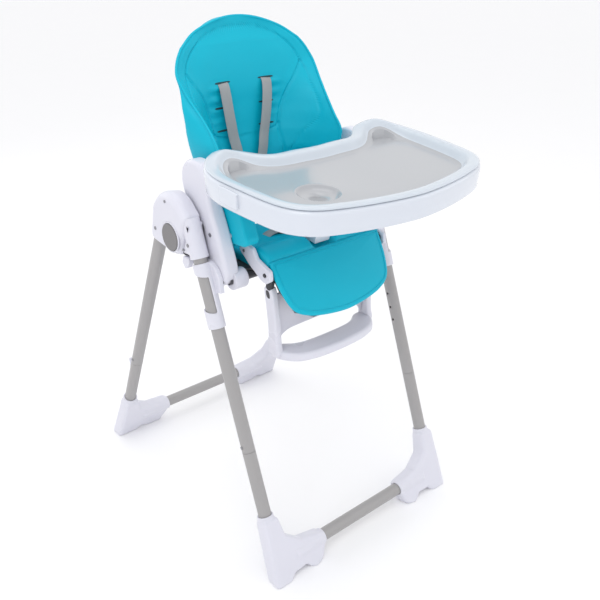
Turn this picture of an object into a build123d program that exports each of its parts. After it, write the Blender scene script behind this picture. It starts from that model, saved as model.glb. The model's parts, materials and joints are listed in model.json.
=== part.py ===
from build123d import *
import math
import os

# Folding high chair, in millimetres, +Z up, the child facing -Y. It is built about the plane of
# its hub pivots and then moved by row_shift, so that the origin is under the middle of its footprint.
row_shift = 40.3

# Tubes of the frame
tube_r = 14.0
tube_wall = 1.5
leg_x = 240.0
joint_z = 276.0
spigot_len = 55.0

# Leg axes: y of the axis at a given height is y_ref + slope * (z - z_ref)
front_ref = (-135.3, 552.0)
front_slope = 0.366
front_top_z = 728.0
rear_ref = (75.5, 611.0)
rear_slope = -0.4607
rear_top_z = 726.0

# Feet and crossbars
front_bar = (-330.0, 40.8)
rear_bar = (324.0, 54.3)
bar_half = 186.0
collar_x = 118.0
foot_top_z = 141.0
foot_thick = 37.0

# Hub
pivot_y = -28.0
pivot_z = 691.0
pin_r = 6.0
hub_inner_x = 222.5
hub_skin_x = (260.5, 263.0)
socket_outer_x = 258.5
split_x = 241.0
button_r = 28.0
button_x = (261.0, 266.5)
button_travel = 3.5

# Seat carriage
sleeve_r = 18.0
bore_gap = 0.4
sleeve_top_z = 652.0
sleeve_window = (562.0, 631.0)
sleeve_low_z = 527.0
panel_x = (187.0, 219.0)
boss_yz = (-140.0, 618.0)
boss_r = 21.0
boss_end_x = 168.0
cross_tube_r = 9.5
rail_top_z = 826.0
rail_front_y = -275.0

# Seat, backrest, leg rest
shell_z = 628.5
shell_t = 4.0
shell_half = 182.0
nose_half = 149.0
seat_front_y = -180.0
seat_rear_y = 46.0
seat_pad_z = (633.0, 649.0)
recline_y = 52.0
recline_z = 662.0
leg_pivot_y = -198.0
leg_pivot_z = 636.0
bracket_x = (151.0, 160.0)

# Tray
tray_tilt = 4.1
tray_wall = 3.0
cup_centre = (-132.0, -322.0)
cup_r = 36.0


def front_y(z):
    return front_ref[0] + front_slope * (z - front_ref[1])


def rear_y(z):
    return rear_ref[0] + rear_slope * (z - rear_ref[1])


def flipped(shape):
    return mirror(shape, about=Plane.YZ)


def rod(start, end, radius):
    run = Vector(*end) - Vector(*start)
    return extrude(Plane(origin=start, z_dir=run) * Circle(radius), run.length)


def tube(start, end, outer, inner):
    run = (Vector(*end) - Vector(*start)).normalized()
    reach = run * 1.0
    far = tuple(Vector(*end) + reach)
    near = tuple(Vector(*start) - reach)
    return rod(start, end, outer) - rod(near, far, inner)


def both_sides(*solids):
    group = Part()
    for one in solids:
        group += one
        group += flipped(one)
    return group


def x_rod(y, z, x_low, x_high, radius):
    return rod((x_low, y, z), (x_high, y, z), radius)


def block(x_span, y_span, z_span):
    size = [span[1] - span[0] for span in (x_span, y_span, z_span)]
    middle = [(span[1] + span[0]) / 2 for span in (x_span, y_span, z_span)]
    return Pos(*middle) * Box(*size)


def side_slab(outline, x_low, x_high):
    """A plate whose outline is given in (y, z), between two x values."""
    face = make_face(Polyline(*outline, close=True))
    return extrude(Plane.YZ.offset(x_low) * face, x_high - x_low)


def rounded_slab(outline, x_low, x_high, corner, edge):
    """The same plate with round corners and round rims."""
    face = make_face(Polyline(*outline, close=True))
    face = fillet(face.vertices(), corner)
    slab = extrude(Plane.YZ.offset(x_low) * face, x_high - x_low)
    rims = slab.faces().filter_by(Axis.X).edges()
    return fillet(rims, edge) if edge else slab


def leg_point(side_y, z):
    return (leg_x, side_y(z), z)


def snap_hole(side_y, z):
    y = side_y(z)
    return x_rod(y, z, leg_x - tube_r - 2, leg_x - tube_r / 2, 3.0)


# ---------------------------------------------------------------- frame tubes
def upper_leg(side_y, top_z, hole_heights):
    leg = tube(leg_point(side_y, joint_z), leg_point(side_y, top_z), tube_r, tube_r - tube_wall)
    for z in hole_heights:
        leg -= snap_hole(side_y, z)
    return leg


def lower_leg(side_y, low_z):
    body = tube(leg_point(side_y, low_z), leg_point(side_y, joint_z - 0.6), tube_r, tube_r - tube_wall)
    spigot_r = tube_r - tube_wall - 0.05
    spigot = tube(leg_point(side_y, joint_z - 12), leg_point(side_y, joint_z + spigot_len),
                  spigot_r, spigot_r - tube_wall)
    neck = tube(leg_point(side_y, joint_z - 12), leg_point(side_y, joint_z - 0.6),
                tube_r, spigot_r - tube_wall)
    return body + neck + spigot


def leg_button(side_y, z):
    y = side_y(z)
    return x_rod(y, z, leg_x + tube_r - 0.6, leg_x + tube_r + 1.4, 3.4)


def crossbar(bar):
    return tube((-bar_half, *bar), (bar_half, *bar), tube_r, tube_r - tube_wall)


# ---------------------------------------------------------------- feet
def foot(side_y, bar, outline):
    """Moulded elbow between a leg and its crossbar, standing on the floor."""
    lean = Vector(0, side_y(1.0) - side_y(0.0), 1.0).normalized()
    level = side_y(bar[1])
    middle_y = (level + bar[0]) / 2
    plane = Plane(origin=(0, middle_y, bar[1]), x_dir=(1, 0, 0), z_dir=Vector(1, 0, 0).cross(lean))
    face = make_face(Polyline(*outline, close=True))
    face = fillet(face.vertices(), 9.0)
    web = extrude(plane * face, foot_thick / 2, both=True)
    web = fillet(web.faces().filter_by(Axis((0, 0, 0), plane.z_dir)).edges(), 8.0)
    collar = rod(leg_point(side_y, bar[1] + 5), leg_point(side_y, foot_top_z), tube_r + 4.0)
    sleeve = x_rod(*bar, collar_x, leg_x - 40, tube_r + 4.0)
    body = web + collar + sleeve
    body -= rod(leg_point(side_y, bar[1] + 25), leg_point(side_y, foot_top_z + 20), tube_r + 0.05)
    body -= x_rod(*bar, collar_x - 20, bar_half + 1, tube_r + 0.05)
    body -= block((0, 400), (-500, 500), (-80, 0))
    return body


front_foot_outline = [(222, 100), (259, 100), (263, 20), (266, -60), (228, -60), (212, -38),
                      (178, -36), (158, -60), (134, -44), (119, -14), (119, 14), (176, 24), (213, 52)]
rear_foot_outline = [(222, 84), (259, 84), (263, 10), (268, -80), (224, -80), (206, -44),
                     (186, -50), (166, -80), (140, -60), (119, -14), (119, 14), (178, 22), (213, 48)]

# ---------------------------------------------------------------- hub
hub_outline = [(60, 672), (53, 716), (41, 745), (17, 769), (-16, 779), (-46, 771), (-70, 752), (-82, 736),
               (-74, 716), (-61, 688), (-55, 662), (-44, 654), (-28, 651), (-5, 653), (25, 659)]
rim_outline = [(60, 672), (53, 716), (41, 745), (17, 769), (-16, 779), (-46, 771), (-60, 762), (-46, 749),
               (-20, 751), (12, 742), (26, 722), (20, 668)]
socket_outline = [(-54, 663), (-63, 690), (-76, 718), (-82, 736), (-84, 720), (-108, 664)]
plate_outline = [(-28, 665), (-2, 680), (-2, 702), (-28, 717), (-62, 735), (-84, 738), (-84, 700),
                 (-94, 672), (-60, 665)]


def hub_cover():
    """Rear half of the hub: an outer skin, a rim over the top, the leg's holder and the pivot boss."""
    skin = rounded_slab(hub_outline, hub_skin_x[0], hub_skin_x[1], 5.0, 0)
    shell = skin + rounded_slab(rim_outline, hub_inner_x + 1.5, hub_skin_x[0] + 1, 5.0, 0)
    hollow = [(8, 735), (-16, 745), (-50, 732), (-90, 760), (-90, 700), (8, 700)]
    shell -= side_slab(hollow, hub_inner_x - 1, hub_skin_x[0])
    holder = rod(leg_point(rear_y, 661), leg_point(rear_y, 738), tube_r + 3.2)
    boss = x_rod(pivot_y, pivot_z, split_x + 0.5, button_x[1] - 1.0, button_r + 3.0)
    shell = shell + holder + boss
    shell -= rod(leg_point(rear_y, 560), leg_point(rear_y, rear_top_z + 1), tube_r + 0.05)
    shell -= x_rod(pivot_y, pivot_z, split_x - 5, 300, pin_r + 0.06)
    shell -= x_rod(pivot_y, pivot_z, 252.0, 300, 10.0)
    shell -= x_rod(pivot_y, pivot_z, button_x[0] - button_travel - 0.5, 300, button_r + 0.4)
    return shell


def front_socket():
    """Front half of the hub: grips the leg's top and carries the pivot pin on an inner plate."""
    front = side_slab(socket_outline, hub_inner_x, socket_outer_x)
    grip = rod(leg_point(front_y, 665), leg_point(front_y, 737), tube_r + 4.0)
    plate = rounded_slab(plate_outline, hub_inner_x, split_x - 0.5, 6.0, 0)
    body = front + grip + plate
    body -= rod(leg_point(front_y, 600), leg_point(front_y, front_top_z + 1), tube_r + 0.05)
    body -= x_rod(pivot_y, pivot_z, 200, 260, pin_r)
    return body


def hub_pin():
    return x_rod(pivot_y, pivot_z, hub_inner_x, 255.5, pin_r) + x_rod(pivot_y, pivot_z, 252.5, 255.5, 9.5)


def fold_button():
    disc = x_rod(pivot_y, pivot_z, button_x[0], button_x[1], button_r)
    return fillet(disc.faces().sort_by(Axis.X)[-1].edges(), 1.5)


def tray_hook():
    y = rear_y(256)
    stem = rod((leg_x, y + tube_r + 0.05, 256), (leg_x, y + tube_r + 9, 252), 5.0)
    stem += rod((leg_x, y + tube_r + 9, 252), (leg_x, y + tube_r + 12, 270), 4.0)
    return stem - rod(leg_point(rear_y, 200), leg_point(rear_y, 320), tube_r + 0.05)


# ---------------------------------------------------------------- seat carriage
def slider():
    """Sleeve that runs on the front leg, cut open on its outer side above its lower ring."""
    sleeve = rod(leg_point(front_y, sleeve_low_z), leg_point(front_y, sleeve_top_z), sleeve_r)
    low, high = sleeve_window
    window = [(front_y(low) - 40, low), (front_y(high) - 40, high), (front_y(high) + 40, high),
              (front_y(low) + 40, low)]
    sleeve -= side_slab(window, leg_x + 1, leg_x + 40)
    flange = [(-146, 598), (-112, 598), (-88, 646), (-84, 656), (-112, 656), (-132, 646), (-142, 630)]
    sleeve += side_slab(flange, panel_x[1] + 0.2, leg_x - 10)
    lug = [(-92, 652), (-60, 652), (-56, 642), (-84, 636)]
    sleeve += side_slab(lug, leg_x - 12, leg_x - 0.5)
    sleeve -= rod(leg_point(front_y, 500), leg_point(front_y, 700), tube_r + bore_gap)
    return sleeve


def side_panel():
    """Armrest, its post and the boss that holds the seat's cross tube, as one moulding."""
    outline = [(-9, 800), (-16, 826), (-40, 842), (-66, 842), (-92, 828), (-100, 800), (-104, 770),
               (-128, 713), (-146, 664), (-150, 632), (-120, 606), (-96, 616), (-66, 654), (-45, 700),
               (-24, 757)]
    post = rounded_slab(outline, panel_x[0], panel_x[1], 8.0, 9.0)
    rail_face = on_tray(rectangle(panel_x[0] + 3, panel_x[1] - 3, rail_front_y, -92))
    rail = extrude(tilted(rail_top_z - 20) * rail_face, 20)
    rail = fillet(rail.edges().group_by(SortBy.LENGTH)[-1], 5.0)
    boss = x_rod(*boss_yz, boss_end_x, panel_x[1], boss_r)
    boss = fillet(boss.faces().sort_by(Axis.X)[0].edges(), 4.0)
    body = post + rail + boss
    return body - x_rod(*boss_yz, boss_end_x - 20, panel_x[1] - 12, cross_tube_r + 0.05)


def height_lever():
    """Squeeze lever behind the sleeve that draws the locking pin out of the leg."""
    outline = [(-71, 657), (-51, 655), (-46, 641), (-56, 628), (-67, 634), (-72, 648)]
    return rounded_slab(outline, 240.0, 252.0, 3.0, 2.0)


def cross_tube():
    end = panel_x[1] - 13
    return tube((-end, *boss_yz), (end, *boss_yz), cross_tube_r, cross_tube_r - tube_wall)


def seat_rail():
    """Bent steel tube from the cross tube back under the seat."""
    x = 160.0
    route = FilletPolyline((x, -132, 613), (x, -104, 612), (x, -40, 617), (x, 30, 617), radius=60)
    section = Plane(origin=route @ 0, z_dir=route % 0) * Circle(8.0)
    body = sweep(section, path=route)
    return body - x_rod(*boss_yz, 100, 300, cross_tube_r + 0.05)


def seat_shell():
    """Seat pan with low side walls and two ears at the back for the recline pins."""
    floor_outline = [(-nose_half, seat_front_y), (nose_half, seat_front_y), (nose_half, -150),
                     (shell_half, -120), (shell_half, seat_rear_y), (-shell_half, seat_rear_y),
                     (-shell_half, -120), (-nose_half, -150)]
    face = make_face(Polyline(*floor_outline, close=True))
    shell = extrude(Plane.XY.offset(shell_z) * face, shell_t)
    wall = [(-118, shell_z), (seat_rear_y, shell_z), (seat_rear_y + 24, 650), (seat_rear_y + 24, 672),
            (40, 690), (20, 745), (-60, 745), (-100, 735)]
    for x in (shell_half - shell_t, -shell_half):
        shell += side_slab(wall, x, x + shell_t)
    for x in (-1, 1):
        shell -= x_rod(*boss_yz, x * (boss_end_x - 0.5), x * (panel_x[1] + 1), boss_r + 0.5)
    return shell - x_rod(recline_y, recline_z, -300, 300, 5.06)


def legrest_bracket():
    outline = [(-112, 668), (-128, 684), (-160, 680), (-172, 662), (-214, 648), (-216, 628), (-200, 617),
               (-182, 622), (-150, 640)]
    plate = rounded_slab(outline, bracket_x[0], bracket_x[1], 7.0, 2.0)
    return plate - x_rod(leg_pivot_y, leg_pivot_z, 100, 200, 4.06)


def seat_pad():
    low, high = seat_pad_z
    pad = block((-nose_half + 2, nose_half - 2), (seat_front_y, seat_rear_y - 22), (low, high))
    pad = fillet(pad.edges().filter_by(Axis.Z), 10.0)
    return fillet(pad.faces().sort_by(Axis.Z)[-1].edges(), 5.0)


def side_pad():
    outline = [(-116, 790), (-152, 770), (-164, 712), (-156, 695), (-140, 688), (-104, 688), (-92, 655),
               (10, 655), (10, 700), (-20, 780)]
    return rounded_slab(outline, 149.0, 176.5, 8.0, 6.0)


def lap_straps():
    low = seat_pad_z[1] + 0.3
    return both_sides(block((22, 130), (-72, -47), (low, low + 1.6)))


def crotch_strap():
    low = seat_pad_z[1] + 0.3
    return block((-12.5, 12.5), (-132, -76), (low, low + 1.6))


def buckle():
    low = seat_pad_z[1] + 0.3
    body = block((-21, 21), (-75.5, -43), (low, low + 12))
    body = fillet(body.edges().filter_by(Axis.Z), 8.0)
    return fillet(body.faces().sort_by(Axis.Z)[-1].edges(), 2.5)


# ---------------------------------------------------------------- backrest
shell_back = 27.0        # from the pad's middle line back to the shell
back_rows = [(672, 128, 60, 8), (720, 140, 70, 52), (780, 158, 76, 76), (806, 158, 77, 132),
             (830, 160, 78, 146), (854, 162, 79, 148), (880, 164, 80, 124), (908, 167, 81, 99),
             (930, 170, 84, 77), (980, 174, 88, 36), (1030, 144, 95, 18), (1058, 98, 98, 8),
             (1072, 52, 98, 3), (1080, 24, 98, 1)]


def trough(z, half, back_y, rise, out):
    """One level of the backrest: a shallow trough whose wings come forward by rise."""
    flat = half * 0.42
    front = [(-half, back_y - rise), (-flat, back_y), (flat, back_y), (half, back_y - rise)]
    rear = [(half, back_y - rise + out), (flat, back_y + out), (-flat, back_y + out),
            (-half, back_y - rise + out)]
    return Plane.XY.offset(z) * make_face(Polyline(*front, *rear, close=True))


def backrest_pad():
    levels = [trough(max(z, 676.0), half, y - 3, rise * 0.9, 20.0) for z, half, y, rise in back_rows]
    return loft(levels, ruled=True)


def backrest_shell():
    levels = [trough(z, half - 6, y + shell_back, rise * 0.9, 7.0) for z, half, y, rise in back_rows]
    shell = loft(levels, ruled=True)
    low = block((-172, 172), (42, 90), (655, 674))
    low = fillet(low.edges().filter_by(Axis.X), 6.0)
    shell = shell + low
    return shell - x_rod(recline_y, recline_z, -300, 300, 5.0)


def recline_pins():
    return both_sides(x_rod(recline_y, recline_z, 152.0, 184.0, 5.0))


def recline_handle():
    """Grip behind the backrest, drawn up to free its lock."""
    outline = [(132, 930), (150, 925), (152, 880), (140, 868), (130, 876)]
    return rounded_slab(outline, -45.0, 45.0, 4.0, 3.0)


def shoulder_strap():
    """Webbing that leaves its slot and lies down the front of the backrest pad."""
    line = [(68.0, 952.0), (64.5, 900.0), (62.0, 860.0), (62.0, 800.0), (57.0, 745.0), (52.0, 712.0)]
    front = [(y, z) for y, z in line]
    rear = [(y + 1.6, z) for y, z in reversed(line)]
    return side_slab(front + rear, 43.5, 68.5)


# ---------------------------------------------------------------- leg rest and footrest
def calf_pad():
    """Padded board cover: round at its lower corners, lying in a plane 32 degrees off vertical."""
    lean = math.radians(32.6)
    down = Vector(0, -math.sin(lean), -math.cos(lean))
    origin = (0, -205.0, 634.0)
    plane = Plane(origin=origin, x_dir=(1, 0, 0), z_dir=Vector(1, 0, 0).cross(down) * -1)
    outline = [(-146, 0), (146, 0), (146, -38), (128, -88), (84, -112), (-84, -112), (-128, -88), (-146, -38)]
    face = make_face(Polyline(*outline, close=True))
    face = fillet(face.vertices(), 10.0)
    pad = extrude(plane * face, 15.0)
    return pad


def legrest_board():
    lean = math.radians(32.6)
    down = Vector(0, -math.sin(lean), -math.cos(lean))
    plane = Plane(origin=(0, -203.0, 634.0), x_dir=(1, 0, 0), z_dir=Vector(1, 0, 0).cross(down))
    outline = [(-143, 0), (143, 0), (140, 34), (122, 84), (82, 105), (-82, 105), (-122, 84), (-140, 34)]
    face = make_face(Polyline(*outline, close=True))
    board = extrude(plane * face, 6.0)
    for x in (-bracket_x[0] + 0.5, bracket_x[0] - 8.5):
        lug = [(-189, 646), (-206, 646), (-208, 620), (-202, 601), (-189, 601)]
        board += rounded_slab(lug, x, x + 8.0, 6.0, 0)
    return board + x_rod(leg_pivot_y, leg_pivot_z, -bracket_x[1] - 1.5, bracket_x[1] + 1.5, 4.0)


def footrest():
    """Two arms, a web between them and a bowed step to stand the feet on."""
    arms = []
    arm_outline = [(-204, 598), (-182, 598), (-178, 480), (-182, 452), (-206, 448), (-200, 480)]
    arm = rounded_slab(arm_outline, 122.0, 134.0, 5.0, 0)
    web = block((-124, 124), (-188, -184), (490, 560))
    step_outer = [(-134, -182), (-134, -200), (-105, -240), (-50, -256), (50, -256), (105, -240),
                  (134, -200), (134, -182)]
    step_inner = [(98, -182), (70, -196), (-70, -196), (-98, -182)]
    face = make_face(Polyline(*step_outer, *step_inner, close=True))
    step = extrude(Plane.XY.offset(436) * face, 20.0)
    return arm + flipped(arm) + web + step


# ---------------------------------------------------------------- tray
tray_side = [(262, -215), (250, -340), (225, -392), (188, -416), (120, -442), (0, -452)]


def tray_outline(inset, rear_gap):
    """Outline of the tray: a bowed front, nearly straight sides and two round lobes at the back."""
    right = [(166, -107 - rear_gap), (224, -122 - rear_gap), (256, -157 - rear_gap)]
    points = [(0, -156 - rear_gap), (110, -146 - rear_gap)] + right + tray_side
    shape = [(x - inset if x > 0 else 0, y + (inset if y < -380 else 0)) for x, y in points]
    left = [(-x, y) for x, y in reversed(shape) if x > 0]
    return make_face(Polyline(*shape, *left, close=True))


def tilted(z):
    """Plane of the tray at a height over its rear edge, tilted down to the front."""
    lean = math.radians(tray_tilt)
    return Plane(origin=(0, -150, z), x_dir=(1, 0, 0), z_dir=(0, -math.sin(lean), math.cos(lean)))


def on_tray(face):
    return Pos(0, 150, 0) * face


def rectangle(x_low, x_high, y_low, y_high):
    return make_face(Polyline((x_low, y_low), (x_high, y_low), (x_high, y_high), (x_low, y_high), close=True))


def tray_base():
    outer = extrude(tilted(806) * on_tray(tray_outline(0, 0)), 44.0)
    outer = fillet(outer.faces().sort_by(Axis.Z)[-1].edges(), 6.0)
    inner = extrude(tilted(805) * on_tray(tray_outline(tray_wall, 3)), 22.0)
    well = extrude(tilted(830) * on_tray(tray_outline(26, 22)), 40.0)
    tray = outer - inner - well
    for x in (-1, 1):
        tray -= block(sorted((x * 225, x * 270)), (-262, -212), (800, 842))
        low, high = sorted((x * (panel_x[0] - 1), x * panel_x[1]))
        tray -= extrude(tilted(800) * on_tray(rectangle(low, high, -140, -90)), 27.5)
        low, high = sorted((x * 180, x * 184))
        tray += extrude(tilted(812) * on_tray(rectangle(low, high, -290, -150)), 16.0)
    return tray


def tray_insert():
    plate = extrude(tilted(850.4) * on_tray(tray_outline(5, 3)), 3.0)
    bowl = extrude(tilted(836.6) * on_tray(tray_outline(28, 24)), 15.0)
    inner = extrude(tilted(839.6) * on_tray(tray_outline(31, 27)), 30.0)
    cup = extrude(tilted(830.6) * on_tray(Pos(*cup_centre) * Circle(cup_r + 3)), 7.0)
    cup_space = extrude(tilted(833.6) * on_tray(Pos(*cup_centre) * Circle(cup_r)), 12.0)
    return plate + bowl + cup - inner - cup_space


def crotch_post():
    post = side_slab([(-210, 832), (-163, 832), (-138, 661.5), (-186, 661.5)], -20, 20)
    post = fillet(post.edges().filter_by(Axis.X, reverse=True).group_by(SortBy.LENGTH)[-1], 7.0)
    post -= extrude(tilted(827) * on_tray(rectangle(-60, 60, -300, -50)), 60)
    return post - side_slab([(-206, 840), (-167, 840), (-142.5, 665), (-182, 665)], -16.5, 16.5)


def tray_latch():
    latch = block((252, 262), (-259, -215), (812, 840))
    return fillet(latch.edges().filter_by(Axis.X), 4.0)


# ---------------------------------------------------------------- screws
def screw(y, z, x, length, radius):
    body = x_rod(y, z, x - length, x, radius * 0.55)
    return body + x_rod(y, z, x - 1.6, x, radius)


def frame_screws():
    heads = [screw(-84, 689, socket_outer_x + 1.2, 4.5, 3.6), screw(-66, 674, socket_outer_x + 1.2, 14, 3.0)]
    return both_sides(*heads)


def hub_screws():
    """Screws of the hub covers and the small ones on the inner faces of the rear feet."""
    heads = [screw(31, 693, hub_skin_x[1] + 1.2, 8, 3.6), screw(-16, 762, hub_skin_x[1] + 1.2, 14, 3.0)]
    heads += [Pos(x, 343.5, z) * Rot(90, 0, 0) * Cylinder(2.6, 6) for x, z in ((214, 22), (232, 42), (241, 66))]
    return both_sides(*heads)


def seat_screws():
    heads = [screw(-104, 707, panel_x[1] + 1.2, 20, 4.2), screw(-140, 618, panel_x[1] + 1.2, 10, 4.0)]
    heads += [screw(-132, 668, bracket_x[1] + 1.2, 8, 3.4)]
    return both_sides(*heads)


hole_heights = [602.0, 567.0, 533.0, 499.0, 465.0, 434.0, 405.0]

nodes = {
    "front_leg_left": flipped(upper_leg(front_y, front_top_z, hole_heights)),
    "front_leg_right": upper_leg(front_y, front_top_z, hole_heights),
    "front_lower_leg_left": flipped(lower_leg(front_y, front_bar[1] + 26)),
    "front_lower_leg_right": lower_leg(front_y, front_bar[1] + 26),
    "front_crossbar": crossbar(front_bar),
    "front_foot_left": flipped(foot(front_y, front_bar, front_foot_outline)),
    "front_foot_right": foot(front_y, front_bar, front_foot_outline),
    "front_socket_left": flipped(front_socket()),
    "front_socket_right": front_socket(),
    "hub_pin_left": flipped(hub_pin()),
    "hub_pin_right": hub_pin(),
    "front_leg_buttons": both_sides(leg_button(front_y, joint_z + 12)),
    "rear_leg_left": flipped(upper_leg(rear_y, rear_top_z, [])),
    "rear_leg_right": upper_leg(rear_y, rear_top_z, []),
    "rear_lower_leg_left": flipped(lower_leg(rear_y, rear_bar[1] + 26)),
    "rear_lower_leg_right": lower_leg(rear_y, rear_bar[1] + 26),
    "rear_crossbar": crossbar(rear_bar),
    "rear_foot_left": flipped(foot(rear_y, rear_bar, rear_foot_outline)),
    "rear_foot_right": foot(rear_y, rear_bar, rear_foot_outline),
    "hub_cover_left": flipped(hub_cover()),
    "hub_cover_right": hub_cover(),
    "rear_leg_buttons": both_sides(leg_button(rear_y, joint_z + 12)),
    "tray_hooks": both_sides(tray_hook()),
    "frame_screws": frame_screws(),
    "hub_screws": hub_screws(),
    "seat_screws": seat_screws(),
    "fold_button_left": flipped(fold_button()),
    "fold_button_right": fold_button(),
    "slider_left": flipped(slider()),
    "slider_right": slider(),
    "side_panel_left": flipped(side_panel()),
    "side_panel_right": side_panel(),
    "height_lever_left": flipped(height_lever()),
    "height_lever_right": height_lever(),
    "cross_tube": cross_tube(),
    "seat_rail_left": flipped(seat_rail()),
    "seat_rail_right": seat_rail(),
    "seat_shell": seat_shell(),
    "legrest_bracket_left": flipped(legrest_bracket()),
    "legrest_bracket_right": legrest_bracket(),
    "seat_pad": seat_pad(),
    "side_pad_left": flipped(side_pad()),
    "side_pad_right": side_pad(),
    "lap_straps": lap_straps(),
    "crotch_strap": crotch_strap(),
    "buckle": buckle(),
    "backrest_shell": backrest_shell(),
    "backrest_pad": backrest_pad(),
    "recline_pins": recline_pins(),
    "recline_handle": recline_handle(),
    "shoulder_strap_left": flipped(shoulder_strap()),
    "shoulder_strap_right": shoulder_strap(),
    "calf_pad": calf_pad(),
    "legrest_board": legrest_board(),
    "footrest": footrest(),
    "tray_base": tray_base(),
    "tray_insert": tray_insert(),
    "crotch_post": crotch_post(),
    "tray_latch_left": flipped(tray_latch()),
    "tray_latch_right": tray_latch(),
}

os.makedirs("parts", exist_ok=True)
for name, solid in nodes.items():
    export_step(Pos(0, row_shift, 0) * solid, f"parts/{name}.step")
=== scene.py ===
import json
import math

import bpy
import numpy as np
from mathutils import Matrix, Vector


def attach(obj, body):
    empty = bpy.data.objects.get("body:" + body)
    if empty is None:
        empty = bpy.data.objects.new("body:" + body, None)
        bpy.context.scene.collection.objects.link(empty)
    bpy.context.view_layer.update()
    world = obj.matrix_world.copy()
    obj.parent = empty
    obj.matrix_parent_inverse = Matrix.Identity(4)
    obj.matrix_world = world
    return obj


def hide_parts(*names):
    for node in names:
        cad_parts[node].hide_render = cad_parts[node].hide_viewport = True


# The row frame is the measuring frame moved by SHIFT along Y. Lengths below are metres.
SHIFT = 0.0403

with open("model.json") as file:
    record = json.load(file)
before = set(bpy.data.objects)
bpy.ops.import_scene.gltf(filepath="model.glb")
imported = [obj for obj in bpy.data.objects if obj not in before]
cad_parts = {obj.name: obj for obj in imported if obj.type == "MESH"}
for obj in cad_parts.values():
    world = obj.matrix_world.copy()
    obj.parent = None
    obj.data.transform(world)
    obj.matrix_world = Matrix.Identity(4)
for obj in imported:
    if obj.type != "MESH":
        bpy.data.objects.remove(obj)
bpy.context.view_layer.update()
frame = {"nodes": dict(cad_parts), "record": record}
record = frame["record"]
body_of_node = {n: b for b, names in record["behaviour"]["bodies"].items() for n in names}
SIDES = (("left", -1), ("right", 1))
slot_of_node = {s["node"]: s["material_slot"] for s in record["subparts"]}


# ------------------------------------------------------------------ camera, light, backdrop
def make_camera(azimuth, elevation, place, lens):
    data = bpy.data.cameras.new("camera")
    data.sensor_width = 36
    data.lens = lens
    data.clip_end = 50
    camera = bpy.data.objects.new("camera", data)
    camera.location = place
    camera.rotation_euler = (math.radians(90 - elevation), 0, math.radians(azimuth))
    bpy.context.collection.objects.link(camera)
    bpy.context.scene.camera = camera


def area_light(name, place, aim, size, power):
    data = bpy.data.lights.new(name, "AREA")
    data.shape = "RECTANGLE"
    data.size, data.size_y = size
    data.energy = power
    light = bpy.data.objects.new(name, data)
    light.location = place
    light.rotation_euler = (Vector(aim) - Vector(place)).to_track_quat("-Z", "Y").to_euler()
    bpy.context.collection.objects.link(light)


make_camera(-39.98, 26.42, (-0.9574, -1.2157, 1.2407), 44.92)
area_light("key", (-1.6, -1.2, 2.6), (0, 0, 0.7), (1.6, 1.6), 15)
area_light("fill", (2.2, -1.6, 1.6), (0, 0, 0.6), (1.8, 1.8), 4)
area_light("top", (0.2, 0.4, 3.0), (0, 0, 0.6), (1.6, 1.6), 7)
area_light("back", (-0.8, 2.6, 1.8), (0, 0, 0.7), (2.0, 1.4), 5)


def srgb(*levels):
    """Screen colour levels, 0 to 255, as a linear colour with full alpha."""
    shares = [level / 255 for level in levels]
    return tuple(v / 12.92 if v <= 10 / 255 else ((v + 0.055) / 1.055) ** 2.4 for v in shares) + (1.0,)


bpy.context.scene.view_settings.view_transform = "Standard"
world = bpy.data.worlds.new("studio")
bpy.context.scene.world = world
world.use_nodes = True
world.node_tree.nodes["Background"].inputs["Color"].default_value = srgb(253, 253, 254)
world.node_tree.nodes["Background"].inputs["Strength"].default_value = 1.0


# ------------------------------------------------------------------ materials
def grain_group():
    """Fine grain and slow mottling: roughness between two values, a height, and a shade near 1."""
    group = bpy.data.node_groups.new("grain", "ShaderNodeTree")
    face = group.interface
    for name in ("Grain scale", "Cloud scale", "Rough low", "Rough high", "Shade depth"):
        face.new_socket(name, in_out="INPUT", socket_type="NodeSocketFloat")
    face.new_socket("Tint", in_out="INPUT", socket_type="NodeSocketColor")
    face.new_socket("Colour", in_out="OUTPUT", socket_type="NodeSocketColor")
    face.new_socket("Roughness", in_out="OUTPUT", socket_type="NodeSocketFloat")
    face.new_socket("Height", in_out="OUTPUT", socket_type="NodeSocketFloat")
    nodes, links = group.nodes, group.links
    put = nodes.new("NodeGroupInput")
    out = nodes.new("NodeGroupOutput")
    coord = nodes.new("ShaderNodeTexCoord")
    fine = nodes.new("ShaderNodeTexVoronoi")
    cloud = nodes.new("ShaderNodeTexNoise")
    cloud.inputs["Detail"].default_value = 4
    links.new(coord.outputs["Object"], fine.inputs["Vector"])
    links.new(coord.outputs["Object"], cloud.inputs["Vector"])
    links.new(put.outputs["Grain scale"], fine.inputs["Scale"])
    links.new(put.outputs["Cloud scale"], cloud.inputs["Scale"])
    spread = nodes.new("ShaderNodeMapRange")
    links.new(cloud.outputs["Fac"], spread.inputs["Value"])
    spread.inputs["From Min"].default_value = 0.3
    spread.inputs["From Max"].default_value = 0.7
    links.new(put.outputs["Rough low"], spread.inputs["To Min"])
    links.new(put.outputs["Rough high"], spread.inputs["To Max"])
    links.new(spread.outputs["Result"], out.inputs["Roughness"])
    links.new(fine.outputs["Distance"], out.inputs["Height"])
    deep = nodes.new("ShaderNodeMath")
    deep.operation = "MULTIPLY"
    links.new(cloud.outputs["Fac"], deep.inputs[0])
    links.new(put.outputs["Shade depth"], deep.inputs[1])
    lift = nodes.new("ShaderNodeMath")
    lift.operation = "SUBTRACT"
    lift.inputs[0].default_value = 1.0
    links.new(deep.outputs[0], lift.inputs[1])
    shade = nodes.new("ShaderNodeVectorMath")
    shade.operation = "SCALE"
    links.new(put.outputs["Tint"], shade.inputs[0])
    links.new(lift.outputs[0], shade.inputs["Scale"])
    links.new(shade.outputs[0], out.inputs["Colour"])
    return group


GRAIN = grain_group()


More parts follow.
